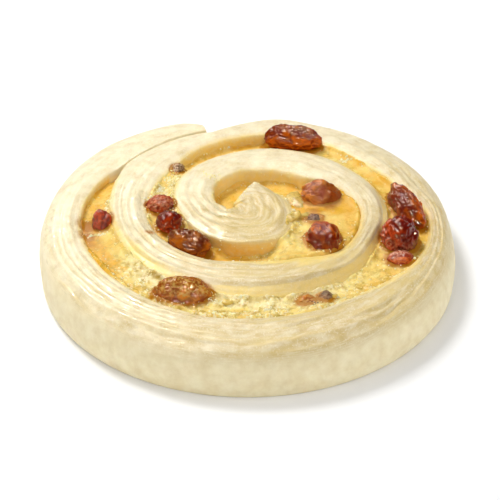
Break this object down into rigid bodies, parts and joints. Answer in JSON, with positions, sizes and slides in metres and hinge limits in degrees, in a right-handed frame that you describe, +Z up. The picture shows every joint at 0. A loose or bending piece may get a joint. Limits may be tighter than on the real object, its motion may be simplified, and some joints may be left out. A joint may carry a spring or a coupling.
{
  "type": "pain aux raisins",
  "caption": "Round spiral pastry of raw laminated dough, rolled up with pastry cream and raisins, shaped and ready for the oven.",
  "frame": {"origin": "middle of the plan box, on the flat underside", "axes": "+Z up, out of the swirl's face; +X to the right and +Y away from the viewer in the picture's view"},
  "size_m": [0.1032, 0.1016, 0.0196],
  "materials": {
    "dough": "pale raw butter dough, satin and slightly moist",
    "cream": "yellow pastry cream, smooth and moist",
    "raisin_dark": "dark red-brown, wrinkled and glossy",
    "raisin_golden": "amber brown, wrinkled and glossy"
  },
  "bodies": {
    "root": {"dough": "dough", "cream": "cream", "raisin_01": "raisin_dark", "raisin_02": "raisin_golden", "raisin_03": "raisin_golden", "raisin_04": "raisin_dark", "raisin_05": "raisin_dark", "raisin_06": "raisin_dark", "raisin_07": "raisin_dark", "raisin_08": "raisin_dark", "raisin_09": "raisin_dark", "raisin_10": "raisin_dark", "raisin_11": "raisin_dark", "raisin_12": "raisin_dark", "raisin_13": "raisin_dark", "raisin_14": "raisin_dark", "raisin_15": "raisin_golden"}
  },
  "joints": []
}
